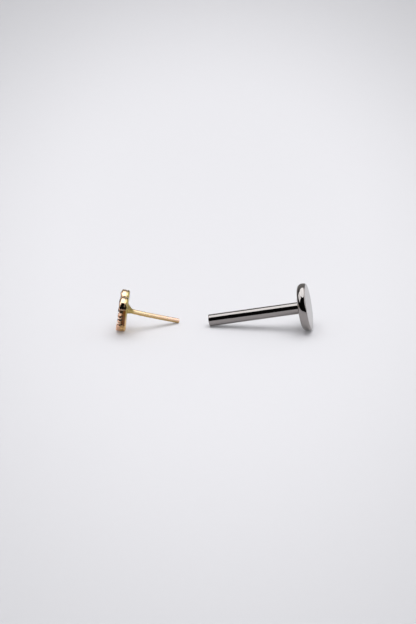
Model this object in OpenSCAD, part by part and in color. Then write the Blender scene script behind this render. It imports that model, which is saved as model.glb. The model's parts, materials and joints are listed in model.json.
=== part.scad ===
// Flat back stud earring, taken apart: a gold heart top with a bent pin, and a steel post with a flat disc.
// Millimetres. The floor is z = 0, +X runs along the post towards its disc, and +Z is up.

/* [Post] */
// Diameter of the tube, 18 gauge
tube_d = 1.0; // [0.9:0.05:1.2]
// Diameter of the blind bore that grips the pin
bore_d = 0.5; // [0.4:0.05:0.6]
// Length of the tube, from its open end to the disc
tube_length = 7.75; // [6:0.05:10]
// Diameter of the flat disc
disc_d = 4.0; // [3:0.1:5]
// Thickness of the disc
disc_t = 0.74; // [0.6:0.02:0.9]
// Rounding of the disc's edge on the tube's side
disc_inner_round = 0.38; // [0.2:0.02:0.4]
// Rounding of the disc's edge on its outer face
disc_outer_round = 0.1; // [0.05:0.01:0.2]
// Rounding of the tube's open end
tube_end_round = 0.06; // [0.04:0.01:0.12]
// Depth of the bore
bore_depth = 7; // [5:0.1:7.5]

/* [Heart] */
// Half the distance between the middles of the two lobes
lobe_apart = 0.9; // [0.86:0.01:0.92]
// Radius of each lobe
lobe_r = 0.93; // [0.9:0.01:1]
// Height of the lobes' middles above the pin
lobe_up = 0.49; // [0.4:0.01:0.6]
// Depth of the heart's point below the pin
point_down = 1.9; // [1.86:0.01:1.94]
// Radius of the heart's point
point_r = 0.35; // [0.3:0.01:0.4]
// Radius of the fillet in the cleft
cleft_r = 0.06; // [0.05:0.01:0.1]
// Thickness of the heart
heart_t = 0.72; // [0.68:0.02:0.8]
// Rounding of the heart's front and back edges
heart_round = 0.2; // [0.15:0.01:0.22]
// Depth of the groove round the wall, in front of the back rim
groove_depth = 0.05; // [0.03:0.01:0.08]
// Width of that groove
groove_w = 0.06; // [0.04:0.01:0.08]
// Width of the back rim behind the groove
back_rim_w = 0.22; // [0.2:0.01:0.26]
// Radius of the scallops cut into the wall's front edge, on the straight sides
scallop_r = 0.09; // [0.08:0.01:0.12]
// Depth of the scallops into the wall
scallop_depth = 0.13; // [0.1:0.01:0.16]
// Distance between two scallops, along the rim's path
scallop_pitch = 0.44; // [0.43:0.01:0.45]

/* [Stones] */
// Diameter of the stones that follow the outline
rim_stone_d = 0.62; // [0.58:0.01:0.62]
// Diameter of the stone in the middle
middle_stone_d = 0.8; // [0.7:0.01:0.8]
// Distance from the outline to the middles of the rim's stones
rim_inset = 0.42; // [0.41:0.01:0.43]
// Distance between two stones of the rim, along it
stone_pitch = 0.775; // [0.765:0.005:0.78]
// Gap between a stone and its seat
stone_gap = 0.02; // [0.01:0.005:0.03]
// Depth of a stone's girdle below the heart's front face
girdle_depth = 0.05; // [0.04:0.01:0.08]
// Radius of the metal beads that hold the stones
bead_r = 0.11; // [0.1:0.01:0.12]
// Height of the beads above the heart's front face
bead_proud = 0.03; // [0.02:0.01:0.05]
// Height above the front face of the lip that guards the heart's point
lip_proud = 0.09; // [0.05:0.01:0.1]
// Width of that lip
lip_w = 0.06; // [0.04:0.01:0.06]
// Length of that lip up from the point
lip_reach = 0.75; // [0.5:0.05:0.9]

/* [Pin] */
// Diameter of the pin
pin_d = 0.4; // [0.36:0.01:0.44]
// Length of the pin's bent stretch, from the back of the heart
pin_bent = 2.45; // [2:0.05:3]
// Downward slope of the pin where it leaves the heart
pin_slope = 22.5; // [21.5:0.1:23.5]
// Downward slope of the pin's straight end
end_slope = 19.1; // [18:0.1:20]
// Turn of the pin away from the viewer
pin_turn = 25.9; // [22:0.1:28]
// Rounding of the pin's end
pin_end_round = 0.06; // [0.04:0.01:0.1]
// Length of the solder fillet along the pin
fillet_length = 0.42; // [0.3:0.02:0.5]
// Width of the solder fillet about the pin, on the heart's back
fillet_flare = 0.24; // [0.1:0.01:0.26]
// Height of the fillet's middle above the pin's, on the heart's back
fillet_rise = 0.15; // [0:0.01:0.16]

/* [Rest] */
// Lean of the heart towards its pin
heart_lean = 6.5; // [5:0.5:9]
// Turn of the heart's back towards the viewer
heart_yaw = 1.9; // [0:0.1:4]
// Roll of the heart's point towards the viewer
heart_roll = 0.5; // [0:0.1:4]
// Turn of the post, its disc nearer to the viewer
post_yaw = 6.1; // [4:0.1:8]
// Turn of the post about its own axis
post_roll = 4.3; // [0:0.1:8]
// Place of the pin's root in the heart, along X
heart_x = -7.59; // [-8:0.01:-7]
// Place of the pin's root in the heart, along Y
heart_y = -0.31; // [-0.5:0.01:0.5]
// Place of the middle of the tube's open end, along X
post_x = -0.47; // [-1:0.01:1]
// Place of the middle of the tube's open end, along Y
post_y = 0.99; // [0:0.01:1.2]

/* [Hidden] */
$fn = 64;

// Short cuts past a surface, so that no two faces of a cut coincide
EPS = 0.01;

tube_r = tube_d / 2;
disc_r = disc_d / 2;
pin_r = pin_d / 2;

// The post's tilt, at which its tube's end and its disc's edge both touch the floor
contact_run = tube_length + disc_inner_round - tube_end_round;
contact_rise = disc_r - disc_inner_round - tube_r + tube_end_round;
contact_gain = asin((disc_inner_round - tube_end_round) / norm([contact_run, contact_rise]));
post_tilt = atan2(contact_rise, contact_run) + contact_gain;
post_z = (tube_r - tube_end_round) * cos(post_tilt) + tube_end_round * (1 - sin(post_tilt));

// The heart's outline in its own plane: x across the lobes, y up, the pin at the middle, z = 0 halfway through
point_y = point_r - point_down;
point_to_lobe = norm([lobe_apart, lobe_up - point_y]);
side_angle = atan2(lobe_up - point_y, lobe_apart) - asin((lobe_r - point_r) / point_to_lobe);
cleft_y = lobe_up + sqrt(pow(lobe_r + cleft_r, 2) - pow(lobe_apart, 2));
cleft_angle = atan2(cleft_y - lobe_up, -lobe_apart);
POINT_STEPS = 4;
LOBE_STEPS = 15;
CLEFT_STEPS = 3;
ROUND_STEPS = 3;

// The way down, seen from the heart's own plane, and how far the heart reaches that way below its pin
down = [
    cos(heart_lean) * sin(heart_roll),
    -cos(heart_lean) * cos(heart_roll),
    sin(heart_lean)
];
heart_z = -point_y * -down[1]
    + (point_r - heart_round) * norm([down[0], down[1]])
    + (heart_t / 2 - heart_round) * down[2]
    + heart_round;

// The pin's root on the heart's back, the end of its bend, and the length from there to the floor
back_way = [
    cos(heart_lean) * cos(heart_yaw),
    -cos(heart_lean) * sin(heart_yaw),
    -sin(heart_lean)
];
pin_root = [heart_x, heart_y, heart_z] + back_way * heart_t / 2;
bend_r = pin_bent / ((pin_slope - end_slope) * PI / 180);
bend_run = bend_r * (sin(pin_slope) - sin(end_slope));
bend_drop = bend_r * (cos(end_slope) - cos(pin_slope));
pin_bend = pin_root + [bend_run * cos(pin_turn), bend_run * sin(pin_turn), -bend_drop];
pin_end_z = (pin_r - pin_end_round) * cos(end_slope) + pin_end_round * (1 - sin(end_slope));
pin_straight = (pin_bend[2] - pin_end_z) / sin(end_slope);

// Stones: the crown's height and the table's and pavilion's share of a stone's radius
CROWN_H = 0.3;
TABLE_R = 0.56;
PAVILION_H = 0.82;
GIRDLE_H = 0.03;
FACETS = 8;

// The stones along the rim are counted from the heart's point, -5 to 5
RIM_HALF = 5;

// Scallops on each side of the heart's point
SCALLOPS = 5;

// Steps of the solder fillet along the pin, and sides of its rings
FILLET_STEPS = 6;
FILLET_SIDES = 32;

// Beads between the stones of the field, one row for each: across, up, radius
FIELD_BEADS = [
    [0, -0.75, 0.15],
    [0, 0.53, 0.09],
    [0.64, 0.22, 0.12],
    [-0.64, 0.22, 0.12],
    [0.5, -0.34, 0.13],
    [-0.5, -0.34, 0.13],
    [0.9, 0.49, 0.14],
    [-0.9, 0.49, 0.14]
];

// A direction that slopes down by slope and turns away from the viewer by turn
function heading(slope, turn) = [cos(slope) * cos(turn), cos(slope) * sin(turn), -sin(slope)];

// Points of an arc about middle, from angle a to angle b, without its last point
function arc(middle, r, a, b, steps) = [
    for (i = [0:steps - 1]) middle + r * [cos(a + (b - a) * i / steps), sin(a + (b - a) * i / steps)]
];

// Right half of the heart's outline, moved inwards by inset, from the point up to the cleft
function half_outline(inset) = concat(
    arc([0, point_y], point_r - inset, -90, side_angle - 90, POINT_STEPS),
    arc([lobe_apart, lobe_up], lobe_r - inset, side_angle - 90, cleft_angle, LOBE_STEPS),
    arc([0, cleft_y], cleft_r + inset, cleft_angle - 180, -90, CLEFT_STEPS),
    [[0, cleft_y - cleft_r - inset]]
);

// The whole outline, the left half a mirror of the right
function outline(inset) = let (half = half_outline(inset)) concat(
    half,
    [for (i = [len(half) - 2:-1:1]) [-half[i][0], half[i][1]]]
);

// The faces of a closed skin over rings of count points, with a flat cap at its first and its last ring
function skin(rings, count) = concat(
    [[for (i = [0:count - 1]) i]],
    [for (j = [0:rings - 2]) for (i = [0:count - 1]) let (k = (i + 1) % count) [
        (j + 1) * count + i,
        (j + 1) * count + k,
        j * count + k,
        j * count + i
    ]],
    [[for (i = [count - 1:-1:0]) (rings - 1) * count + i]]
);

// The wall's section as rows of inset and depth, from the front face to the back face
groove_z = heart_t / 2 - back_rim_w;
wall = concat(
    [for (i = [0:ROUND_STEPS]) let (a = 90 * i / ROUND_STEPS)
        [heart_round * (1 - sin(a)), -heart_t / 2 + heart_round * (1 - cos(a))]],
    [
        [0, groove_z - groove_w - groove_depth / 2],
        [groove_depth, groove_z - groove_w],
        [groove_depth, groove_z - groove_depth / 2],
        [0, groove_z]
    ],
    [for (i = [ROUND_STEPS:-1:0]) let (a = 90 * i / ROUND_STEPS)
        [heart_round * (1 - sin(a)), heart_t / 2 - heart_round * (1 - cos(a))]]
);

// Place s along the path of the rim's stones, as x, y and the outward angle, on the right half
path_r = lobe_r - rim_inset;
path_start = point_y - (point_r - rim_inset) / cos(side_angle);
path_end = [lobe_apart + path_r * sin(side_angle), lobe_up - path_r * cos(side_angle)];
path_straight = norm(path_end - [0, path_start]);
function on_path(s) = s < path_straight
    ? [s * cos(side_angle), path_start + s * sin(side_angle), side_angle - 90]
    : let (a = side_angle - 90 + (s - path_straight) / path_r * 180 / PI)
        [lobe_apart + path_r * cos(a), lobe_up + path_r * sin(a), a];

// The same for any s, where a negative s is on the left half and 0 is the heart's point
function rim_at(s) = s == 0
    ? [0, path_start, -90]
    : let (p = on_path(abs(s))) s > 0 ? p : [-p[0], p[1], 180 - p[2]];

// Lays the heart's own plane at its place on the floor
module place_heart() {
    translate([heart_x, heart_y, heart_z])
        rotate([0, 0, -heart_yaw])
            rotate([0, heart_lean, 0])
                rotate([-heart_roll, 0, 0])
                    rotate([90, 0, 90])
                        children();
}

// The heart's plate, its outline carried along the wall's section
module plate() {
    rings = [for (row = wall) [for (p = outline(row[0])) [p[0], p[1], row[1]]]];
    polyhedron(
        points = [for (ring = rings) for (p = ring) p],
        faces = skin(len(rings), len(rings[0]))
    );
}

// A seat for a stone of radius r, open at the heart's front
module seat(r) {
    hole = r + stone_gap;
    translate([0, 0, -heart_t / 2 - EPS])
        cylinder(h = girdle_depth + GIRDLE_H + EPS, r = hole);
    translate([0, 0, -heart_t / 2 + girdle_depth + GIRDLE_H - EPS])
        cylinder(h = PAVILION_H * r + 2 * stone_gap, r1 = hole, r2 = stone_gap);
}

// A scallop at p on the rim's path, cut inwards from the outline
module scallop(p) {
    translate([p[0], p[1], -heart_t / 2 + girdle_depth])
        rotate([0, 90, p[2]])
            translate([0, 0, rim_inset - scallop_depth])
                cylinder(h = 2 * scallop_depth, r = scallop_r);
}

// A bead at the outline, beside p on the rim's path
module rim_bead(p) {
    translate([p[0], p[1], -heart_t / 2 + bead_r - bead_proud])
        rotate([0, 0, p[2]])
            translate([rim_inset - bead_r - 2 * EPS, 0, 0])
                sphere(r = bead_r);
}

// The lip along both sides of the heart's point, between the outline and the last stone
module tip_lip() {
    inset = 3 * EPS;
    translate([0, 0, -heart_t / 2 - lip_proud])
        linear_extrude(height = lip_proud + heart_round)
            intersection() {
                difference() {
                    polygon(outline(inset));
                    polygon(outline(inset + lip_w));
                }
                translate([-lobe_r, -point_down]) square([2 * lobe_r, lip_reach]);
            }
}

// The beads: one between each two stones of the rim, and those of the field
module beads() {
    for (side = [-1, 1]) {
        for (i = [0:RIM_HALF - 1]) {
            rim_bead(rim_at(side * (i + 0.5) * stone_pitch));
        }
    }
    for (b = FIELD_BEADS) {
        translate([b[0], b[1], -heart_t / 2 + b[2] - bead_proud]) sphere(r = b[2]);
    }
}

// One ring of the solder fillet, at a run along the pin from its root: wider and higher at the heart's back
function fillet_ring(along) = let (
    wide = pow(1 - max(along, 0) / fillet_length, 1.6),
    r = pin_r - EPS + (fillet_flare + EPS) * wide,
    up = [sin(heart_lean), 0, cos(heart_lean)],
    middle = pin_root + heading(pin_slope, pin_turn) * along + up * fillet_rise * wide
) [
    for (i = [0:FILLET_SIDES - 1]) let (a = 360 * i / FILLET_SIDES)
        middle + r * (cos(a) * [0, 1, 0] + sin(a) * up)
];

// The solder fillet about the pin's root, from inside the heart to inside the pin
module fillet() {
    rings = [
        fillet_ring(-pin_r),
        for (i = [0:FILLET_STEPS]) fillet_ring(fillet_length * i / FILLET_STEPS)
    ];
    polyhedron(
        points = [for (ring = rings) for (p = ring) p],
        faces = skin(len(rings), FILLET_SIDES)
    );
}

// The pin: a long bend in an upright plane that starts inside the heart, a straight end, and its rounded tip
module pin() {
    stub = heart_t / 4;
    bend = pin_slope - end_slope + stub / bend_r * 180 / PI;
    rod_length = pin_straight - pin_end_round;
    translate(pin_root)
        rotate([0, 0, pin_turn])
            translate(bend_r * [sin(pin_slope), 0, cos(pin_slope)])
                rotate([90, 0, 0])
                    rotate([0, 0, -90 - end_slope]) {
                        mirror([0, 1, 0])
                            rotate_extrude(angle = bend)
                                translate([bend_r, 0]) circle(r = pin_r);
                        translate([bend_r, 0, 0])
                            rotate([-90, 0, 0]) {
                                cylinder(h = rod_length, r = pin_r);
                                translate([0, 0, rod_length]) rotate_extrude() tip_section();
                            }
                    }
}

// Half of the pin's rounded tip, beside its axis
module tip_section() {
    square([pin_r - pin_end_round, pin_end_round]);
    intersection() {
        translate([pin_r - pin_end_round, 0]) circle(r = pin_end_round);
        square([pin_r, pin_end_round]);
    }
}

module heart_setting() {
    color("gold") {
        place_heart() {
            difference() {
                plate();
                for (i = [-RIM_HALF:RIM_HALF]) {
                    p = rim_at(i * stone_pitch);
                    translate([p[0], p[1], 0]) seat(rim_stone_d / 2);
                }
                for (i = [1:SCALLOPS]) {
                    scallop(rim_at(i * scallop_pitch));
                    scallop(rim_at(-i * scallop_pitch));
                }
                seat(middle_stone_d / 2);
            }
            beads();
            tip_lip();
        }
        fillet();
        pin();
    }
}

// A cut stone of radius r: a table, a crown and a pavilion of eight facets each, and a girdle
module cut_stone(r) {
    color("white")
        translate([0, 0, -heart_t / 2 + girdle_depth]) {
            translate([0, 0, -CROWN_H * r])
                cylinder(h = CROWN_H * r, r1 = TABLE_R * r, r2 = r, $fn = FACETS);
            cylinder(h = GIRDLE_H, r = r, $fn = FACETS);
            translate([0, 0, GIRDLE_H])
                cylinder(h = PAVILION_H * r, r1 = r, r2 = 0, $fn = FACETS);
        }
}

// Stone i along the rim, counted from the heart's point
module rim_stone(i) {
    p = rim_at(i * stone_pitch);
    place_heart()
        translate([p[0], p[1], 0])
            rotate([0, 0, p[2]])
                cut_stone(rim_stone_d / 2);
}

// The post's section beside its axis, from the open end up to the disc's outer face
module post_section() {
    rim_z = tube_length;
    translate([0, tube_end_round]) square([tube_r, tube_length]);
    square([tube_r - tube_end_round, tube_length]);
    translate([tube_r - tube_end_round, tube_end_round]) circle(r = tube_end_round);
    translate([0, rim_z]) {
        square([disc_r - disc_inner_round, disc_t]);
        translate([disc_r - disc_inner_round, disc_inner_round]) circle(r = disc_inner_round);
        translate([0, disc_inner_round])
            square([disc_r, disc_t - disc_inner_round - disc_outer_round]);
        translate([0, disc_inner_round])
            square([disc_r - disc_outer_round, disc_t - disc_inner_round]);
        translate([disc_r - disc_outer_round, disc_t - disc_outer_round])
            circle(r = disc_outer_round);
    }
}

module flat_back_post() {
    color("silver")
        translate([post_x, post_y, post_z])
            rotate([0, 90 - post_tilt, -post_yaw])
                rotate([0, 0, post_roll])
                    difference() {
                        rotate_extrude() post_section();
                        translate([0, 0, -EPS]) cylinder(h = bore_depth + EPS, d = bore_d);
                    }
}

module stone_01() { rim_stone(-5); }
module stone_02() { rim_stone(-4); }
module stone_03() { rim_stone(-3); }
module stone_04() { rim_stone(-2); }
module stone_05() { rim_stone(-1); }
module stone_06() { rim_stone(0); }
module stone_07() { rim_stone(1); }
module stone_08() { rim_stone(2); }
module stone_09() { rim_stone(3); }
module stone_10() { rim_stone(4); }
module stone_11() { rim_stone(5); }
module stone_12() { place_heart() cut_stone(middle_stone_d / 2); }

flat_back_post();
heart_setting();
stone_01();
stone_02();
stone_03();
stone_04();
stone_05();
stone_06();
stone_07();
stone_08();
stone_09();
stone_10();
stone_11();
stone_12();
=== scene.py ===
# Flat back stud earring, taken apart: a steel post with a flat disc, and a gold heart top with its bent pin.
# Lengths are in millimetres until a piece's mesh is made, and in metres after that.
import json

import bpy
import numpy as np
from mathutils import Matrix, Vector


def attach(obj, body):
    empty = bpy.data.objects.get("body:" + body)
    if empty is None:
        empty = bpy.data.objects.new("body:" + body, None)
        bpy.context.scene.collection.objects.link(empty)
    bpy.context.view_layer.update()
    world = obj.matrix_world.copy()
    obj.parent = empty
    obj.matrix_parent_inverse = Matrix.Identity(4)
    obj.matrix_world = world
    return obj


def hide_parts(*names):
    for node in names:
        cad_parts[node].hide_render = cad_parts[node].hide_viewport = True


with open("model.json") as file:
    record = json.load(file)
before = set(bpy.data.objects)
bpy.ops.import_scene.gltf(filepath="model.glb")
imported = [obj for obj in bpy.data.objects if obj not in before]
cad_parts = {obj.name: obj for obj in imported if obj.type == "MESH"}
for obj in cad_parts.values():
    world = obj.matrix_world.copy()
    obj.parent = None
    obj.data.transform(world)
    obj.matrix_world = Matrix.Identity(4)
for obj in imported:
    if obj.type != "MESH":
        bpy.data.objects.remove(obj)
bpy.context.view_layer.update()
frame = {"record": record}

# ---- The post: surgical steel. A drawn 18 gauge tube, open at one end, is welded square to the middle of a
# turned disc, and the two are polished together to a mirror. Its bore is blind and grips the top's pin.

MM = 0.001
mounts = {mount["name"]: mount for mount in frame["record"]["mounts"]}
tube_r = mounts["post_shaft"]["dims"]["r_mm"]
bore_r = mounts["post_bore"]["dims"]["r_mm"]
bore_depth = mounts["post_bore"]["dims"]["length_mm"]
bore_lip = 0.02
tube_end_round = 0.06
tube_length = mounts["post_shaft"]["dims"]["length_mm"] + tube_end_round
disc_r, disc_t = 2.0, 0.74
rim_inner, rim_outer = (0.4, 0.44), (0.16, 0.3)
rim_power = 0.9
weld_r = 0.05
post_columns = 160

# The finish's colours, the half width of its change from tube to disc, and the height of its lines in metres
dark_steel, light_steel = (0.29, 0.27, 0.26, 1), (0.34, 0.315, 0.305, 1)
weld_blend = 0.02
steel_relief = 0.0000025


def unit(vector):
    """The vector at length 1."""
    return np.asarray(vector) / np.linalg.norm(vector)


def mount_end(name, side):
    """The end of a round mount in millimetres: its middle, moved half its length along its axis, to side 1 or -1."""
    mount = mounts[name]
    return np.array(mount["pos_m"]) / MM + side * unit(mount["axis"]) * mount["dims"]["length_mm"] / 2


def square_to(axis):
    """Two directions square to axis and to each other, the second one level."""
    level = unit(np.cross([0, 0, 1], axis))
    return unit(np.cross(level, axis)), level


def bend(middle, radius, start, stop, steps):
    """Points on an arc of a profile: middle + radius * (cos, sin) of angles from start to stop, in degrees."""
    angle = np.radians(np.linspace(start, stop, steps))
    return np.array(middle) + radius * np.column_stack([np.cos(angle), np.sin(angle)])


def run(start, stop, steps):
    """Points on a straight of a profile, closer together at both ends: start + (stop - start) * (1 - cos) / 2."""
    share = (1 - np.cos(np.linspace(0, np.pi, steps + 2)[1:-1])) / 2
    return np.array(start) + np.outer(share, np.subtract(stop, start))


def edge(middle, reach, start, stop, steps):
    """Points on the disc's full edge: middle + reach * (cos, sin) ** rim_power, in degrees from start to stop."""
    angle = np.radians(np.linspace(start, stop, steps))
    way = np.column_stack([np.cos(angle), np.sin(angle)])
    return np.array(middle) + np.array(reach) * np.sign(way) * np.abs(way) ** rim_power


def make_piece(name, body, rings, first_pole, last_pole, own, finish, slot, nodes):
    """A closed skin over a grid of rings by columns, in millimetres. Each ring joins the next by quads, and the
    first and last rings close to their poles by triangles. own holds the piece's own coordinates, the rings' and
    then the poles'. Where the skin's volume comes out negative, its faces are turned over to point outwards."""
    count, columns = rings.shape[:2]
    corner = np.arange(count * columns).reshape(count, columns)
    after = np.roll(corner, -1, axis=1)
    quads = np.stack([corner[:-1], after[:-1], after[1:], corner[1:]], axis=-1).reshape(-1, 4)
    head, tail = count * columns, count * columns + 1
    caps = np.concatenate([
        np.column_stack([np.full(columns, head), after[0], corner[0]]),
        np.column_stack([np.full(columns, tail), corner[-1], after[-1]]),
    ])
    points = np.concatenate([rings.reshape(-1, 3), [first_pole, last_pole]])
    a, b, c, d = (points[quads[:, i]] for i in range(4))
    volume = np.einsum("ij,ij->", np.cross(a, b), c) + np.einsum("ij,ij->", np.cross(a, c), d)
    if volume < 0:
        quads, caps = quads[:, ::-1], caps[:, ::-1]
    return finish_piece(name, body, points, quads.tolist() + caps.tolist(), own, finish, nodes, True)


def finish_piece(name, body, points, faces, own, finish, nodes, smooth):
    """A mesh of these points and faces in metres, with its finish, its body and the nodes that it stands for."""
    mesh = bpy.data.meshes.new(name)
    mesh.from_pydata((points * MM).tolist(), [], faces)
    mesh.attributes.new("own", "FLOAT_VECTOR", "POINT").data.foreach_set("vector", own.astype(np.float32).ravel())
    mesh.polygons.foreach_set("use_smooth", np.full(len(mesh.polygons), smooth))
    mesh.materials.append(finish.material)
    mesh.update()
    piece = bpy.data.objects.new(name, mesh)
    bpy.context.scene.collection.objects.link(piece)
    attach(piece, body)
    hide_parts(*nodes)
    return piece


class Value:
    """A number that varies over a surface: an output socket, on which arithmetic adds Math nodes."""

    def __init__(self, finish, socket):
        self.finish, self.socket = finish, socket

    def __add__(self, other):
        return self.finish.math("ADD", self, other)

    def __sub__(self, other):
        return self.finish.math("SUBTRACT", self, other)

    def __rsub__(self, other):
        return self.finish.math("SUBTRACT", other, self)

    def __mul__(self, other):
        return self.finish.math("MULTIPLY", self, other)

    def __pow__(self, other):
        return self.finish.math("POWER", self, other)

    __radd__ = __add__
    __rmul__ = __mul__


class Finish:
    """A material whose shader maths is written as expressions, and whose other nodes all come from node()."""

    def __init__(self, name, **fixed):
        self.material = bpy.data.materials.new(name)
        self.material.use_nodes = True
        self.tree = self.material.node_tree
        self.surface = self.tree.nodes["Principled BSDF"]
        for socket, value in fixed.items():
            self.surface.inputs[socket.replace("_", " ")].default_value = value

    def plug(self, socket, value):
        """Links a value to a socket, or sets the socket to it."""
        if isinstance(value, Value):
            self.tree.links.new(value.socket, socket)
        else:
            socket.default_value = value

    def node(self, kind, settings=None, sockets=None, output=0):
        """Any node: its type, its settings, which are set first, its sockets by name or number, and its output."""
        made = self.tree.nodes.new("ShaderNode" + kind)
        for name, value in (settings or {}).items():
            setattr(made, name, value)
        for name, value in (sockets or {}).items():
            self.plug(made.inputs[name], value)
        return Value(self, made.outputs[output])

    def math(self, operation, first, second):
        """One Math node on two numbers, either of which may vary over the surface."""
        return self.node("Math", {"operation": operation}, {0: first, 1: second})

    def own(self, scale=(1, 1, 1)):
        """The piece's own coordinates in millimetres, each multiplied by its scale."""
        place = self.node("Attribute", {"attribute_name": "own"}, output="Vector")
        return self.node("VectorMath", {"operation": "MULTIPLY"}, {0: place, 1: scale})

    def parts(self, vector):
        """A vector's three numbers."""
        return [self.node("SeparateXYZ", None, {0: vector}, output=i) for i in range(3)]

    def noise(self, vector, detail, scale=1.0):
        """Smooth noise about 0.5 over a vector, with this many finer layers."""
        return self.node("TexNoise", None, {"Vector": vector, "Scale": scale, "Detail": detail})

    def ramp(self, value, low, high):
        """0 below low, 1 above high, and smooth between."""
        return self.node("MapRange", {"interpolation_type": "SMOOTHSTEP"}, {
            "Value": value, "From Min": low, "From Max": high})

    def mix(self, share, first, second):
        """The first colour where share is 0, and the second where it is 1."""
        return self.node("Mix", {"data_type": "RGBA"}, {
            "Factor": share, 6: first, 7: second}, output=2)

    def bump(self, height, distance):
        """Relief of the given height in units of distance, in metres."""
        return self.node("Bump", None, {"Height": height, "Distance": distance})

    def wear(self, **varying):
        """Links values that vary over the surface to the surface shader."""
        for socket, value in varying.items():
            self.plug(self.surface.inputs[socket.replace("_", " ")], value)


# The profile, as pairs of radius and place along the axis: the bore's floor and wall, the open end, the tube's
# outside, the weld, and the disc. The outer edge leaves out its first point, where it meets the inner edge.
end_flat_r = tube_r - tube_end_round
front_flat_r, back_flat_r = disc_r - rim_inner[0], disc_r - rim_outer[0]
disc_back = tube_length + disc_t
post_profile = np.concatenate([
    run([0, bore_depth], [bore_r, bore_depth], 4),
    run([bore_r, bore_depth], [bore_r, bore_lip], 10),
    bend([bore_r + bore_lip, bore_lip], bore_lip, 180, 270, 5),
    run([bore_r + bore_lip, 0], [end_flat_r, 0], 4),
    bend([end_flat_r, tube_end_round], tube_end_round, -90, 0, 10),
    run([tube_r, tube_end_round], [tube_r, tube_length - weld_r], 36),
    bend([tube_r + weld_r, tube_length - weld_r], weld_r, 180, 90, 8),
    run([tube_r + weld_r, tube_length], [front_flat_r, tube_length], 18),
    edge([front_flat_r, tube_length + rim_inner[1]], rim_inner, -90, 0, 36),
    edge([back_flat_r, disc_back - rim_outer[1]], rim_outer, 0, 90, 28)[1:],
    run([back_flat_r, disc_back], [0, disc_back], 26),
])
post_axis = -unit(mounts["post_bore"]["axis"])
post_open = mount_end("post_bore", 1)
post_up, post_level = square_to(post_axis)


def place_post(own):
    """The post's own coordinates, two across and one along its axis, laid where the bore is."""
    return post_open + own @ np.array([post_up, post_level, post_axis])


turn = np.linspace(0, 2 * np.pi, post_columns, endpoint=False)
post_rings = np.stack([
    np.outer(post_profile[:, 0], np.cos(turn)),
    np.outer(post_profile[:, 0], np.sin(turn)),
    np.repeat(post_profile[:, 1:], post_columns, axis=1),
], axis=-1)
post_poles = np.array([[0, 0, bore_depth], [0, 0, disc_back]])

# The finish: fine lines along the drawn tube, fainter rings on the turned disc, and smudges that dull the polish
steel = Finish("polished_steel", Metallic=1.0)
across, level, along = steel.parts(steel.own())
on_disc = steel.ramp(along, tube_length - weld_blend, tube_length + weld_blend)
from_axis = (across ** 2 + level ** 2) ** 0.5
drawn = steel.noise(steel.own((16, 16, 0.35)), 3)
turned = steel.noise(steel.node("CombineXYZ", None, {0: from_axis * 26, 1: along * 12}), 3)
lines = drawn * (1 - on_disc) + 0.4 * turned * on_disc
smudge = steel.noise(steel.own((0.9, 0.9, 0.45)), 4)
steel.wear(
    Base_Color=steel.mix(smudge, dark_steel, light_steel),
    Roughness=0.035 + 0.05 * steel.ramp(smudge, 0.4, 0.75) + 0.03 * lines,
    Normal=steel.bump(lines, steel_relief),
)

make_piece(
    "steel_post", "root", place_post(post_rings), *place_post(post_poles),
    np.concatenate([post_rings.reshape(-1, 3), post_poles]), steel, "polished_steel", ["flat_back_post"])

# ---- The heart: cast 14 carat gold, with a row of seats for stones along its outline and one in the middle.
# Its front edge is notched along the straight sides, and beads raised between the seats hold the stones. A groove
# runs round the wall in front of a plain back rim, and brown patina with painted shade fills the cuts, painted black
# in the scallops.

# Its outline, its section, and how it leans on the floor, in degrees
lobe_apart, lobe_r, lobe_up = 0.9, 0.93, 0.49
point_down, point_r = 1.9, 0.35
cleft_r = 0.06
heart_t, heart_round = 0.72, 0.2
heart_middle = np.array([0, 0.1])
heart_lean, heart_yaw, heart_roll = 6.5, 1.9, 0.5
half_columns = 240

# The seats and the beads. Beads on the rim have one size. Those of the field are given as x, y and radius, and
# mirrored to the other half.
rim_stone_r, middle_stone_r = 0.31, 0.4
rim_inset, stone_pitch, stone_gap = 0.42, 0.775, 0.02
girdle_depth, girdle_h, pavilion_h = 0.05, 0.03, 0.82
rim_stones = np.arange(-5, 6)
seat_ease, seat_steepest = 0.02, 0.35
bead_r, bead_proud, bead_inset = 0.11, 0.03, 0.02
field_beads = [(0, -0.75, 0.15), (0, 0.53, 0.09), (0.64, 0.22, 0.12), (0.5, -0.34, 0.13), (0.9, 0.49, 0.14)]

# The scallops, at places along the rim's path, the groove, the gallery, which starts and stops at distances round
# the outline from the heart's point, and the lip, which stands between two insets from the outline
scallop_r, scallop_depth, scallop_deepest = 0.1, 0.15, 0.2
scallop_ease, scallop_flattest = 0.03, 0.4
scallop_along = np.array([0.78, 1.14, 1.56, 2.05, 2.38])
groove_depth, groove_w, back_rim_w = 0.05, 0.06, 0.22
gallery_depth, gallery_front = 0.07, 0.26
gallery_start, gallery_stop = 0.55, 2.9
lip_proud, lip_reach = 0.09, 0.75
lip_outer, lip_inner, lip_ease = 0.022, 0.1, 0.012

# The tone's reach: the patina with painted shade, the painted shade at the scallops with half its width at each, and
# the rosy front with its painted reflection
patina_shade_start, patina_shade_stop, patina_shade_back, patina_shade_deep = 1.0, 3.3, 0.1, 0.07
scallop_shade_wide = np.array([0.17, 0.09, 0.2, 0.18, 0.17])
scallop_shade_front, scallop_shade_back, scallop_shade_ahead = 0.07, 0.42, 0.2
rosy_sheen_back, rosy_sheen_fades = 0.34, 3.2

# The finish's colours, and the height of its grain in metres
# The gold is brighter towards the point, a painted reflection, and the rosy gold at the front is partly a painted
# reflection of the floor.
point_sheen_gold, lobe_gold, rosy_sheen_gold = (0.92, 0.63, 0.28, 1), (0.80, 0.60, 0.40, 1), (1.0, 0.61, 0.42, 1)
# The olive gold of the lobes' back rim is painted shade.
lump_gold, back_rim_shade_gold = (0.60, 0.42, 0.20, 1), (0.36, 0.28, 0.10, 1)
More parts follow.
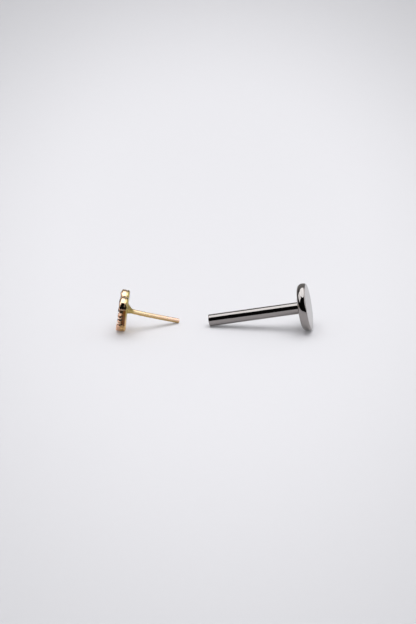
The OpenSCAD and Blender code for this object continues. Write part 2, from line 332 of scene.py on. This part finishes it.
# The brown is patina with painted shade, and the black is painted shade in the scallops.
brown_patina_shade, black_scallop_shade = (0.2, 0.066, 0.006, 1), (0.012, 0.011, 0.006, 1)
gold_relief = 0.000003

# The outline's right half, from the point up to the cleft: a point arc, a straight side, a lobe and a cleft arc
point_y = point_r - point_down
point_to_lobe = np.hypot(lobe_apart, lobe_up - point_y)
side_angle = np.degrees(np.arctan2(lobe_up - point_y, lobe_apart) - np.arcsin((lobe_r - point_r) / point_to_lobe))
cleft_y = lobe_up + np.sqrt((lobe_r + cleft_r) ** 2 - lobe_apart ** 2)
cleft_angle = np.degrees(np.arctan2(cleft_y - lobe_up, -lobe_apart))
fine = 200
half_path = np.concatenate([
    bend([0, point_y], point_r, -90, side_angle - 90, fine),
    bend([lobe_apart, lobe_up], lobe_r, side_angle - 90, cleft_angle, fine),
    bend([0, cleft_y], cleft_r, cleft_angle - 180, -90, fine),
])
half_facing = np.concatenate([
    np.linspace(-90, side_angle - 90, fine),
    np.linspace(side_angle - 90, cleft_angle, fine),
    np.linspace(cleft_angle, 90, fine),
])
walked = np.concatenate([[0], np.cumsum(np.linalg.norm(np.diff(half_path, axis=0), axis=1))])
step = np.linspace(0, walked[-1], half_columns + 1)
right = np.column_stack([np.interp(step, walked, half_path[:, i]) for i in range(2)])
right_facing = np.interp(step, walked, half_facing)
outline = np.concatenate([right, (right * [-1, 1])[-2:0:-1]])
facing = np.radians(np.concatenate([right_facing, (180 - right_facing)[-2:0:-1]]))
outward = np.column_stack([np.cos(facing), np.sin(facing)])
from_tip = np.minimum(np.arange(len(outline)), len(outline) - np.arange(len(outline))) * step[1]

# The section, from the front's middle round the wall to the back's middle, as rows of four: share of the way
# from the middle to the edge, inset from the outline, depth, and the angle that the surface faces
front_z, back_z = -heart_t / 2, heart_t / 2
wall_front, wall_back = front_z + heart_round, back_z - heart_round
front_rows = np.linspace(0.015, 1, 88)[:-1]
back_rows = (1 - np.cos(np.linspace(0, np.pi, 14)[1:-1])) / 2
wall_rows = np.linspace(wall_front, wall_back, 34)[1:-1]


def section(share, inset, depth, angle):
    """Rows of the section, each value repeated along the longest."""
    return np.column_stack(np.broadcast_arrays(share, inset, depth, angle)).astype(float)


def rounded(depth, angle):
    """Rows of a rounded edge: inset heart_round * (1 - cos), and depth + heart_round * sin, of the angles faced."""
    way = np.radians(angle)
    return section(1, heart_round * (1 - np.cos(way)), depth + heart_round * np.sin(way), angle)


rows = np.concatenate([
    section(front_rows, heart_round, front_z, -90),
    rounded(wall_front, np.linspace(-90, 0, 26)),
    section(1, 0, wall_rows, 0),
    rounded(wall_back, np.linspace(0, 90, 12)),
    section(1 - back_rows, heart_round, back_z, 90),
])
share, inset, depth, angle = (rows[:, i, None] for i in range(4))
tilt = np.radians(angle)
on_front, on_wall = angle < -15, np.abs(angle) < 15
flat = outline - outward * inset[..., None]
flat = heart_middle + (flat - heart_middle) * share[..., None]
base = np.concatenate([flat, np.broadcast_to(depth[..., None], flat.shape[:2] + (1,))], axis=-1)
own_x, own_y, own_z = (base[..., i] for i in range(3))
behind = own_z - front_z
normal = np.stack(np.broadcast_arrays(
    outward[:, 0] * np.cos(tilt), outward[:, 1] * np.cos(tilt), np.sin(tilt)), axis=-1)


def rim_place(along):
    """Places along the path of the rim's stones, as x, y and outward angle: a straight up from the point, then an
    arc about the lobe's middle, and the mirror of them where along is negative."""
    path_r = lobe_r - rim_inset
    start = np.array([0, point_y - (point_r - rim_inset) / np.cos(np.radians(side_angle))])
    way = np.array([np.cos(np.radians(side_angle)), np.sin(np.radians(side_angle))])
    bend_at = np.array([lobe_apart + path_r * way[1], lobe_up - path_r * way[0]])
    straight = np.linalg.norm(bend_at - start)
    far = np.abs(along)
    turned_by = side_angle - 90 + np.degrees(np.maximum(far - straight, 0) / path_r)
    arc_x = lobe_apart + path_r * np.cos(np.radians(turned_by))
    arc_y = lobe_up + path_r * np.sin(np.radians(turned_by))
    x = np.where(far < straight, start[0] + far * way[0], arc_x)
    y = np.where(far < straight, start[1] + far * way[1], arc_y)
    side = np.where(along < 0, -1, 1)
    out = np.where(along == 0, -90, np.where(along < 0, 180 - turned_by, turned_by))
    return np.column_stack([x * side, y, out])


def from_notch(x, y, out):
    """How far each point of the heart lies from a notch at x, y: its offset along the wall, and out through it."""
    way = np.array([np.cos(np.radians(out)), np.sin(np.radians(out))])
    return (own_x - x) * -way[1] + (own_y - y) * way[0], (own_x - x) * way[0] + (own_y - y) * way[1]


def eased(value):
    """0 below 0, 1 above 1, and the smooth step value * value * (3 - 2 * value) between."""
    value = np.clip(value, 0, 1)
    return value * value * (3 - 2 * value)


def between(value, start, stop, rise, fall):
    """1 between start and stop and 0 outside them, eased in over rise from start, and out over fall up to stop."""
    return eased((value - start) / rise) * eased((stop - value) / fall)


# Seats: cones cut into the front, square to its surface, with eased edges
rim = rim_place(rim_stones * stone_pitch)
cut = np.zeros(base.shape[:2])
for x, y, r in [(x, y, rim_stone_r) for x, y, _ in rim] + [(0, 0, middle_stone_r)]:
    hole = r + stone_gap
    from_seat = np.hypot(own_x - x, own_y - y)
    floor_z = front_z + girdle_depth + girdle_h + (hole - from_seat) * pavilion_h
    deep = np.maximum(floor_z - own_z, 0) / np.maximum(-np.sin(tilt), seat_steepest)
    cut = np.maximum(cut, deep * eased((hole - from_seat) / seat_ease + 0.5) * on_front)

# Scallops: small round notches across the wall's front edge, on the straight sides
notched = rim_place(np.concatenate([scallop_along, -scallop_along]))
for place in notched:
    aside, ahead = from_notch(*place)
    below = np.maximum(behind - girdle_depth, 0)
    inside = eased((scallop_r - np.hypot(aside, below)) / scallop_ease + 0.5) * (ahead > 0)
    deep = np.clip((scallop_depth - inset) / np.maximum(np.cos(tilt), scallop_flattest), 0, scallop_deepest)
    cut = np.maximum(cut, deep * inside)

# The groove round the wall, in front of the back rim, and the gallery sunk into the straight sides before it
groove_z = back_z - back_rim_w - groove_w / 2
groove = groove_depth * eased(1.5 - np.abs(own_z - groove_z) / (groove_w / 2))
on_side = between(from_tip, gallery_start, gallery_stop, 0.1, 0.2)
in_gallery = between(behind, gallery_front, heart_t - back_rim_w, 0.03, 0.02)
cut = np.maximum(cut, np.maximum(groove, gallery_depth * on_side * in_gallery) * on_wall)

# Beads: the surface moves out along its own normal to a ball, where that line meets the ball
halfway = np.arange(0.5, 5) * stone_pitch
to_bead = rim_inset - bead_r - bead_inset
balls = [(x + to_bead * np.cos(np.radians(out)), y + to_bead * np.sin(np.radians(out)), bead_r)
         for x, y, out in rim_place(np.concatenate([halfway, -halfway]))]
balls += [(x * side, y, r) for x, y, r in field_beads for side in ((1, -1) if x else (1,))]
raised = np.full(base.shape[:2], -1.0)
for x, y, r in balls:
    reach = base - np.array([x, y, front_z + r - bead_proud])
    toward = np.einsum("ijk,ijk->ij", reach, normal)
    meets = toward ** 2 - (np.einsum("ijk,ijk->ij", reach, reach) - r ** 2)
    raised = np.maximum(raised, np.where(meets > 0, np.sqrt(np.maximum(meets, 0)) - toward, -1.0))
height = np.where(raised > 0, raised, -cut)
heart_rings = base + normal * height[..., None]

# The lip that guards the heart's point: a thin wall along the outline, raised straight out of the front
on_lip = between(inset, lip_outer, lip_inner, lip_ease, lip_ease) * on_front
on_lip = on_lip * eased((lip_reach - point_down - own_y) / 0.06)
heart_rings[..., 2] += on_lip * (front_z - lip_proud - heart_rings[..., 2])
seat_floor = front_z + girdle_depth + girdle_h + middle_stone_r * pavilion_h
heart_poles = np.array([[*heart_middle, seat_floor], [*heart_middle, back_z]])


def spin(axis, degrees):
    """The rotation by degrees about axis 0, 1 or 2."""
    c, s = np.cos(np.radians(degrees)), np.sin(np.radians(degrees))
    made = np.eye(3)
    i, j = (axis + 1) % 3, (axis + 2) % 3
    made[i, i], made[i, j], made[j, i], made[j, j] = c, -s, s, c
    return made


# The heart is laid from the pin: back from the pin's straight end round its bend to the root on the heart's back
pin_bent, pin_slope, end_slope, pin_turn = 2.45, 22.5, 19.1, 25.9
bend_r = pin_bent / np.radians(pin_slope - end_slope)
bend_run = bend_r * (np.sin(np.radians(pin_slope)) - np.sin(np.radians(end_slope)))
bend_drop = bend_r * (np.cos(np.radians(end_slope)) - np.cos(np.radians(pin_slope)))
level_way = np.array([np.cos(np.radians(pin_turn)), np.sin(np.radians(pin_turn)), 0])
pin_root = mount_end("top_pin", -1) - bend_run * level_way + [0, 0, bend_drop]
heart_turn = spin(2, -heart_yaw) @ spin(1, heart_lean) @ spin(0, -heart_roll) @ spin(2, 90) @ spin(0, 90)
heart_place = pin_root - heart_turn @ [0, 0, heart_t / 2]


def place_heart(own):
    """The heart's own coordinates, across, up and back, laid at its lean on the floor."""
    return heart_place + own @ heart_turn.T


# The finish: polished gold, paler on the lobes and brighter towards the point as a painted reflection, olive on the
# lobes' back rim as painted shade, and rosy at the front, brightened there as a painted reflection, lumpy as a
# casting is. The attribute "tone" says where it holds patina with painted shade, where painted shade darkens the
# scallops, and where it is rosy.
gold = Finish("gold", Metallic=1.0)
metal_lump = gold.noise(gold.own((2.2, 2.2, 2.2)), 4)
grain = gold.noise(gold.own((30, 30, 30)), 3)
patina_and_shade, scallop_shade, rosy_sheen = gold.parts(gold.node("Attribute", {"attribute_name": "tone"}, output="Vector"))
_, up, back_depth = gold.parts(gold.own())
on_lobes = gold.ramp(up, -0.8, 0.2)
# Towards the point the gold is brighter, a painted reflection.
clean = gold.mix(on_lobes, point_sheen_gold, lobe_gold)
# Rosy gold at the front, brightened as a painted reflection of the floor.
clean = gold.mix(rosy_sheen, clean, rosy_sheen_gold)
clean = gold.mix(0.25 * metal_lump, clean, lump_gold)
# Painted shade: the lobes' back rim is olive.
clean = gold.mix(on_lobes * gold.ramp(back_depth, 0.13, 0.22), clean, back_rim_shade_gold)
# Brown patina with painted shade, and black painted shade at the scallops.
stain_and_shade = gold.mix(scallop_shade, brown_patina_shade, black_scallop_shade)
gold.wear(
    Base_Color=gold.mix(patina_and_shade * (0.92 + 0.08 * grain), clean, stain_and_shade),
    Roughness=0.09 + 0.08 * gold.ramp(metal_lump, 0.4, 0.7) + 0.2 * patina_and_shade,
    Normal=gold.bump(grain * (0.4 + patina_and_shade) + metal_lump * 2, gold_relief),
)

heart = make_piece(
    "gold_heart", "root", place_heart(heart_rings), *place_heart(heart_poles),
    np.concatenate([heart_rings.reshape(-1, 3), heart_poles]), gold, "gold", ["heart_setting"])

# Tone: patina with painted shade in the seats, along the gallery and under the scallops' shade, painted black shade
# at the scallops, and rosy metal at the front, brightened as a painted reflection.
# The front pole lies in the middle seat, and the back pole is clean.
on_gallery = between(from_tip, patina_shade_start, patina_shade_stop, 0.12, 0.2)
on_gallery = on_gallery * between(behind, gallery_front, heart_t - patina_shade_back, 0.06, 0.05)
# Painted shade: black in the scallops, where they are deep.
scallop_shade_at = np.zeros(base.shape[:2])
for place, half_wide in zip(notched, np.tile(scallop_shade_wide, 2)):
    aside, ahead = from_notch(*place)
    scallop_shade_at = np.maximum(scallop_shade_at, eased((half_wide - np.abs(aside)) / 0.05) * (ahead > scallop_shade_ahead))
scallop_shade_at = scallop_shade_at * between(behind, scallop_shade_front, scallop_shade_back, 0.04, 0.06)
in_seat = eased(cut / patina_shade_deep) * (raised <= 0) * on_front
patina_and_shade_at = np.maximum(in_seat, np.maximum(on_gallery, scallop_shade_at))
rosy_sheen_at = eased((rosy_sheen_back - behind) / 0.2) * (1 - 0.6 * eased((from_tip - rosy_sheen_fades) / 0.4))
tone = np.stack([patina_and_shade_at, scallop_shade_at, rosy_sheen_at], axis=-1).reshape(-1, 3)
tone = np.concatenate([tone, [[1, 0, 0], [0, 0, 0]]]).astype(np.float32)
heart.data.attributes.new("tone", "FLOAT_VECTOR", "POINT").data.foreach_set("vector", tone.ravel())

# ---- The pin: drawn 14 carat gold wire, 0.4 mm, soldered into the heart's back with a small fillet. It is bent a
# little along its length, so that the bore grips it, and its end is rounded.

pin_r = mounts["top_pin"]["dims"]["r_mm"]
pin_straight = mounts["top_pin"]["dims"]["length_mm"]
pin_end_round = 0.06
pin_inside = 0.2
fillet_length, fillet_flare, fillet_rise, fillet_power = 0.42, 0.24, 0.15, 1.6
pin_columns = 64
# The solder's olive is partly painted shade in the fillet's hollow, and the underside's colour is painted shade.
solder_and_shade_gold, underside_shade_gold = (0.42, 0.32, 0.11, 1), (0.48, 0.31, 0.09, 1)
root_gold, end_gold = (0.82, 0.62, 0.39, 1), (0.88, 0.60, 0.46, 1)
wire_relief = 0.000004

# Rings along the pin: how far each is from the root, how thick it is, and how much of the fillet's flare it has
fillet_steps = fillet_length * (1 - np.cos(np.radians(np.linspace(0, 90, 24))))
tip_angle = np.radians(np.linspace(0, 90, 10))[1:]
walk = np.unique(np.round(np.concatenate([
    np.linspace(-pin_inside, 0, 6), fillet_steps,
    np.linspace(0, pin_bent, 70), pin_bent + np.linspace(0, pin_straight, 60)]), 6))
flare = (1 - np.clip(walk, 0, fillet_length) / fillet_length) ** fillet_power
thick = pin_r + fillet_flare * flare
tip_walk = pin_bent + pin_straight + pin_end_round * np.sin(tip_angle)
tip_thick = pin_r - pin_end_round * (1 - np.cos(tip_angle))
walk, thick = np.concatenate([walk, tip_walk]), np.concatenate([thick, tip_thick])
flare = np.concatenate([flare, np.zeros(len(tip_walk))])[:, None]

# The path: an arc whose slope eases from pin_slope to end_slope, then a straight
slope = np.radians(np.interp(walk, [0, pin_bent], [pin_slope, end_slope]))
arc_walk = np.clip(walk, 0, pin_bent)
arc_slope = np.radians(pin_slope) - arc_walk / bend_r
forward = bend_r * (np.sin(np.radians(pin_slope)) - np.sin(arc_slope))
drop = bend_r * (np.cos(arc_slope) - np.cos(np.radians(pin_slope)))
past = walk - arc_walk
path = (pin_root + np.outer(forward + past * np.cos(slope), level_way)
        - np.outer(drop + past * np.sin(slope), [0, 0, 1]))

# The fillet's rings are raised, and lie along the heart's back where they flare most
heart_across, heart_up = heart_turn[:, 0], heart_turn[:, 1]
path = path + fillet_rise * flare * heart_up
pin_side = (1 - flare) * np.cross([0, 0, 1], level_way) + flare * heart_across
pin_top = np.outer(np.sin(slope), level_way) + np.outer(np.cos(slope), [0, 0, 1])
pin_top = (1 - flare) * pin_top + flare * heart_up
turn = np.linspace(0, 2 * np.pi, pin_columns, endpoint=False)
pin_rings = path[:, None] + thick[:, None, None] * (
    np.cos(turn)[None, :, None] * pin_top[:, None] + np.sin(turn)[None, :, None] * pin_side[:, None])
pin_own = np.stack(np.broadcast_arrays(
    thick[:, None] * np.cos(turn), thick[:, None] * np.sin(turn), walk[:, None]), axis=-1)
pin_poles = np.array([path[0], path[-1]])
pin_pole_own = np.array([[0, 0, walk[0]], [0, 0, walk[-1]]])

# The finish: satin wire with drawn lines, olive at the solder, darkened there by painted shade, painted shade
# underneath and rosier towards its end
wire = Finish("gold_wire", Metallic=1.0)
drawn = wire.noise(wire.own((22, 22, 0.6)), 3)
lump = wire.noise(wire.own((2.0, 2.0, 1.1)), 3)
upward, _, from_root = wire.parts(wire.own())
drawn_gold = wire.mix(wire.ramp(from_root, 1.2, pin_bent + pin_straight), root_gold, end_gold)
# Painted shade on the pin's underside.
drawn_gold = wire.mix(0.85 * wire.ramp(0 - upward, -0.03, 0.04), drawn_gold, underside_shade_gold)
# The olive solder at the root is darkened with painted shade.
wire.wear(
    Base_Color=wire.mix(wire.ramp(from_root, 0.25, 0.7), solder_and_shade_gold, drawn_gold),
    Roughness=0.22 + 0.10 * wire.ramp(lump, 0.35, 0.75) + 0.04 * drawn,
    Normal=wire.bump(drawn + lump * 3, wire_relief),
)
make_piece(
    "gold_pin", "root", pin_rings, *pin_poles,
    np.concatenate([pin_own.reshape(-1, 3), pin_pole_own]), wire, "gold", ["heart_setting"])

# ---- The stones: clear cut stones with a round girdle, eleven along the outline and a larger one in the middle,
# each set in its seat with the girdle just under the metal and held by the beads round it.

# The cut, as shares of a stone's radius, the angles of its corners, and its finish with the relief in metres
crown_h, table_r = 0.3, 0.56
star_r, lower_r = 0.76, 0.25
eighths = np.radians(np.arange(8) * 45)
sixteenths = np.radians(np.arange(16) * 22.5)
half_eighth = np.radians(22.5)
cool_clear, full_clear = (0.97, 0.98, 1.0, 1), (1.0, 1.0, 1.0, 1)
stone_relief = 0.0000004


def ring_at(radius, height, angles):
    """Points at one radius and height round the stone's axis."""
    return np.column_stack([radius * np.cos(angles), radius * np.sin(angles), np.full(len(angles), height)])


def brilliant(r):
    """A round brilliant of radius r, its table towards -z: a table, 8 stars, 8 kites and 16 halves on the crown, a
    girdle, and 16 halves and 8 mains on the pavilion. Where kites meet lies on the planes of both neighbours."""
    half = np.cos(half_eighth)
    star_h = crown_h * (1 - star_r * half) / (1 - table_r)
    lower_h = girdle_h / r + pavilion_h * (1 - lower_r * half)
    points = r * np.concatenate([
        ring_at(table_r, -crown_h, eighths),
        ring_at(star_r, -star_h, eighths + half_eighth),
        ring_at(1, 0, sixteenths),
        ring_at(1, girdle_h / r, sixteenths),
        ring_at(lower_r, lower_h, eighths + half_eighth),
        [[0, 0, girdle_h / r + pavilion_h]],
    ])
    n = np.arange(8)
    after, before = (n + 1) % 8, (n - 1) % 8
    table, star, top, bottom, lower, culet = 0, 8, 16, 32, 48, 56
    at, mid, ahead = 2 * n, 2 * n + 1, (2 * n + 2) % 16
    faces = [list(range(8))]
    faces += np.column_stack([table + n, table + after, star + n]).tolist()
    faces += np.column_stack([table + n, star + n, top + at, star + before]).tolist()
    faces += np.column_stack([star + n, top + mid, top + at]).tolist()
    faces += np.column_stack([star + n, top + ahead, top + mid]).tolist()
    round_16 = np.arange(16)
    faces += np.column_stack([
        top + round_16, top + (round_16 + 1) % 16, bottom + (round_16 + 1) % 16, bottom + round_16]).tolist()
    faces += np.column_stack([lower + n, bottom + at, bottom + mid]).tolist()
    faces += np.column_stack([lower + n, bottom + mid, bottom + ahead]).tolist()
    faces += np.column_stack([bottom + at, lower + n, np.full(8, culet), lower + before]).tolist()
    return points, faces


stone = Finish("clear_stone", IOR=2.15, Transmission_Weight=1.0)
polish = stone.noise(stone.own((9, 9, 9)), 3)
stone.wear(
    Base_Color=stone.mix(polish, cool_clear, full_clear),
    Roughness=0.004 + 0.02 * stone.ramp(polish, 0.55, 0.8),
    Normal=stone.bump(polish, stone_relief),
)
stone_places = [(*place, rim_stone_r) for place in rim] + [(0, 0, 0, middle_stone_r)]
for number, (x, y, out, r) in enumerate(stone_places, start=1):
    own, faces = brilliant(r)
    laid = own @ spin(2, out).T + [x, y, front_z + girdle_depth]
    finish_piece(f"cut_stone_{number:02d}", "root", place_heart(laid), faces, own, stone,
                 [f"stone_{number:02d}"], False)

# ---- The setting of the picture: a pale matt floor under a large soft light, with a painted pool of light on it and a
# faint painted glow that lightens its shadows. The metal sees that light tilted back, a panel on each side, and a
# room that is dark on the camera's side, which gives it its black bands.

floor_half = 1.5
# Painted pool of light: the floor's colour at the spot and far from it.
floor_pool_lit, floor_pool_dim = (0.668, 0.674, 0.712, 1), (0.43, 0.436, 0.462, 1)
# The floor's faint glow is painted light, which lightens the shadows on it.
painted_floor_glow = (0.10, 0.10, 0.104, 1)
floor_relief = 0.00001
floor_mesh = bpy.data.meshes.new("floor")
floor_mesh.from_pydata([(x, y, 0) for x, y in [
    (-floor_half, -floor_half), (floor_half, -floor_half), (floor_half, floor_half), (-floor_half, floor_half)]],
    [], [(0, 1, 2, 3)])
floor = bpy.data.objects.new("floor", floor_mesh)
bpy.context.scene.collection.objects.link(floor)

# A painted pool of light: it darkens away from a spot 28 mm behind the part's middle, and a third as fast in depth as
# across: the distance is the length of the place in metres times floor_spread, plus floor_shift
floor_spread, floor_shift = (10, 3.21, 0), (0, -0.09, 0)
paper = Finish("pale_floor", Emission_Color=painted_floor_glow, Emission_Strength=1.0)
spot = paper.node("TexCoord", output="Object")
fibre = paper.noise(spot, 3, scale=900)
spread = paper.node("VectorMath", {"operation": "MULTIPLY_ADD"}, {0: spot, 1: floor_spread, 2: floor_shift})
away = paper.node("VectorMath", {"operation": "LENGTH"}, {0: spread}, output="Value")
paper.wear(
    Base_Color=paper.mix(paper.ramp(away, 0.12, 0.42), floor_pool_lit, floor_pool_dim),
    Roughness=0.6 + 0.1 * fibre,
    Normal=paper.bump(fibre, floor_relief),
)
floor_mesh.materials.append(paper.material)

lamp_away = 0.4
warm_white, cool_white = (1.0, 0.985, 0.975), (0.965, 0.985, 1.0)


def hang_lamp(name, shape, turned, raised, wide, tall, radiance, on_floor=True, in_metal=True):
    """A soft light that faces the part, turned to the right of the camera and raised above the floor, and as wide and
    tall as these angles seen from the part. Its power follows from its radiance and its area."""
    lamp = bpy.data.lights.new(name, "AREA")
    lamp.shape = shape
    lamp.size = 2 * lamp_away * np.tan(np.radians(wide / 2))
    lamp.size_y = 2 * lamp_away * np.tan(np.radians(tall / 2))
    lamp.energy = radiance * np.pi * lamp.size * lamp.size_y * (np.pi / 4 if shape == "ELLIPSE" else 1)
    lamp.color = warm_white if on_floor else cool_white
    hung = bpy.data.objects.new(name, lamp)
    side, rise = np.radians(turned), np.radians(raised)
    way = Vector((np.sin(side) * np.cos(rise), -np.cos(side) * np.cos(rise), np.sin(rise)))
    hung.location = way * lamp_away
    hung.rotation_euler = way.to_track_quat("Z", "Y").to_euler()
    hung.visible_camera = False
    hung.visible_diffuse, hung.visible_glossy = on_floor, in_metal
    bpy.context.scene.collection.objects.link(hung)


hang_lamp("softbox", "ELLIPSE", 180, 86, 60, 60, 2.3, in_metal=False)
hang_lamp("softbox_middle", "ELLIPSE", 180, 86, 42, 42, 1.8, in_metal=False)
hang_lamp("softbox_shine", "ELLIPSE", 180, 82, 60, 60, 2.3, on_floor=False)
hang_lamp("softbox_middle_shine", "ELLIPSE", 180, 82, 42, 42, 2.3, on_floor=False)
hang_lamp("left_panel", "RECTANGLE", -85, 46, 42, 36, 1.9, on_floor=False)
hang_lamp("right_panel", "RECTANGLE", 95, 32, 80, 42, 1.3, on_floor=False)
hang_lamp("fill", "ELLIPSE", 0, 90, 140, 140, 0.45, in_metal=False)

# The room's strength: from room_dark towards the camera to room_light behind the part, and lighter to the right
room_dark, room_light = 0.006, 0.33
room_lean = 0.6
room_white = (1, 0.98, 0.97, 1)
world = bpy.data.worlds.new("room")
bpy.context.scene.world = world
world.use_nodes = True
room = world.node_tree
looking = room.nodes.new("ShaderNodeTexCoord")
split = room.nodes.new("ShaderNodeSeparateXYZ")
towards = room.nodes.new("ShaderNodeMapRange")
towards.interpolation_type = "SMOOTHSTEP"
for name, value in {"From Min": -0.25, "From Max": 0.7, "To Min": room_dark, "To Max": room_light}.items():
    towards.inputs[name].default_value = value
rightward = room.nodes.new("ShaderNodeMath")
rightward.operation = "MULTIPLY_ADD"
rightward.inputs[1].default_value = room_lean
room.links.new(looking.outputs["Generated"], split.inputs[0])
room.links.new(split.outputs["X"], rightward.inputs[0])
room.links.new(split.outputs["Y"], rightward.inputs[2])
room.links.new(rightward.outputs[0], towards.inputs["Value"])
room.links.new(towards.outputs[0], room.nodes["Background"].inputs["Strength"])
room.nodes["Background"].inputs["Color"].default_value = room_white

# ---- The camera: a long lens, 20 degrees above the floor, along +Y.

camera_up = 20
camera_away = 0.25
pixels_per_mm = 12
image_long = 624
aim = np.array([-0.571, 0.37, 1.457]) * MM
camera = bpy.data.cameras.new("camera")
camera.sensor_width = 36
camera.lens = pixels_per_mm / MM * camera_away * camera.sensor_width / image_long
camera.clip_start, camera.clip_end = 0.01, 10
viewer = bpy.data.objects.new("camera", camera)
rise = np.radians(camera_up)
viewer.location = aim + camera_away * np.array([0, -np.cos(rise), np.sin(rise)])
viewer.rotation_euler = (np.pi / 2 - rise, 0, 0)
bpy.context.scene.collection.objects.link(viewer)
bpy.context.scene.camera = viewer
bpy.context.scene.view_settings.view_transform = "Standard"
